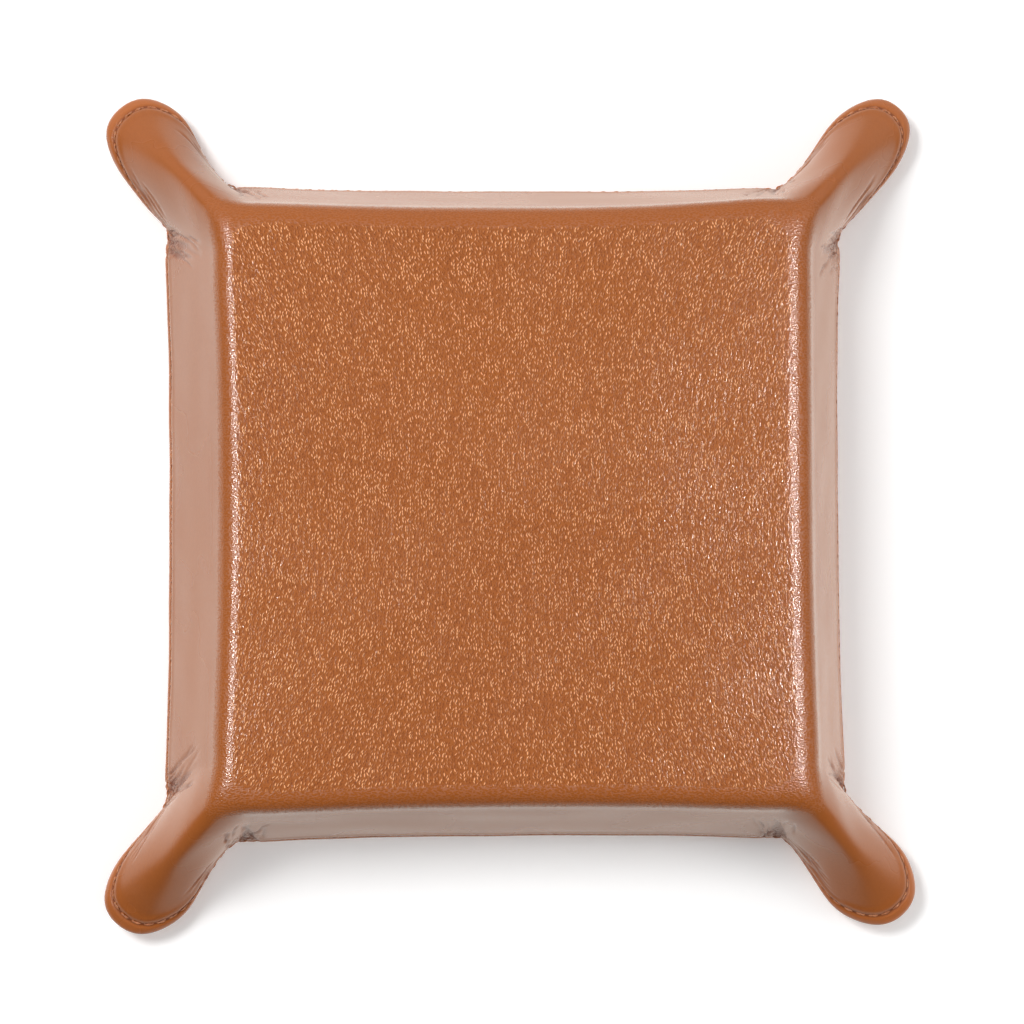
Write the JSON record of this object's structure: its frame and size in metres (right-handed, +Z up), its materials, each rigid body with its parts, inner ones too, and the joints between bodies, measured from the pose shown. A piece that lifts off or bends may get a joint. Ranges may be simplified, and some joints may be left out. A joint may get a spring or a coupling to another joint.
{
  "type": "valet tray",
  "caption": "Square open leather valet tray with leaning walls and a rounded, spout-like ear folded out at each corner, sewn round the rim and lined inside.",
  "frame": {"origin": "middle of the base's underside, on the surface the tray stands on", "axes": "+Z up, out of the tray's open top; +X across the tray to the right wall; +Y across the tray to the back wall, the longer way over the ears"},
  "size_m": [0.1694, 0.1742, 0.032],
  "materials": {
    "tan_leather": "pebbled full-grain leather, satin",
    "lining_suede": "short-napped suede, matte",
    "stiffener_board": "pressed fibre board, matte",
    "sewing_thread": "waxed twisted thread"
  },
  "bodies": {
    "root": {"outer_leather": "tan_leather", "lining": "lining_suede", "base_board": "stiffener_board", "wall_board_left": "stiffener_board", "wall_board_right": "stiffener_board", "wall_board_front": "stiffener_board", "wall_board_back": "stiffener_board", "rim_thread_outer": "sewing_thread", "rim_thread_inner": "sewing_thread"}
  },
  "joints": []
}
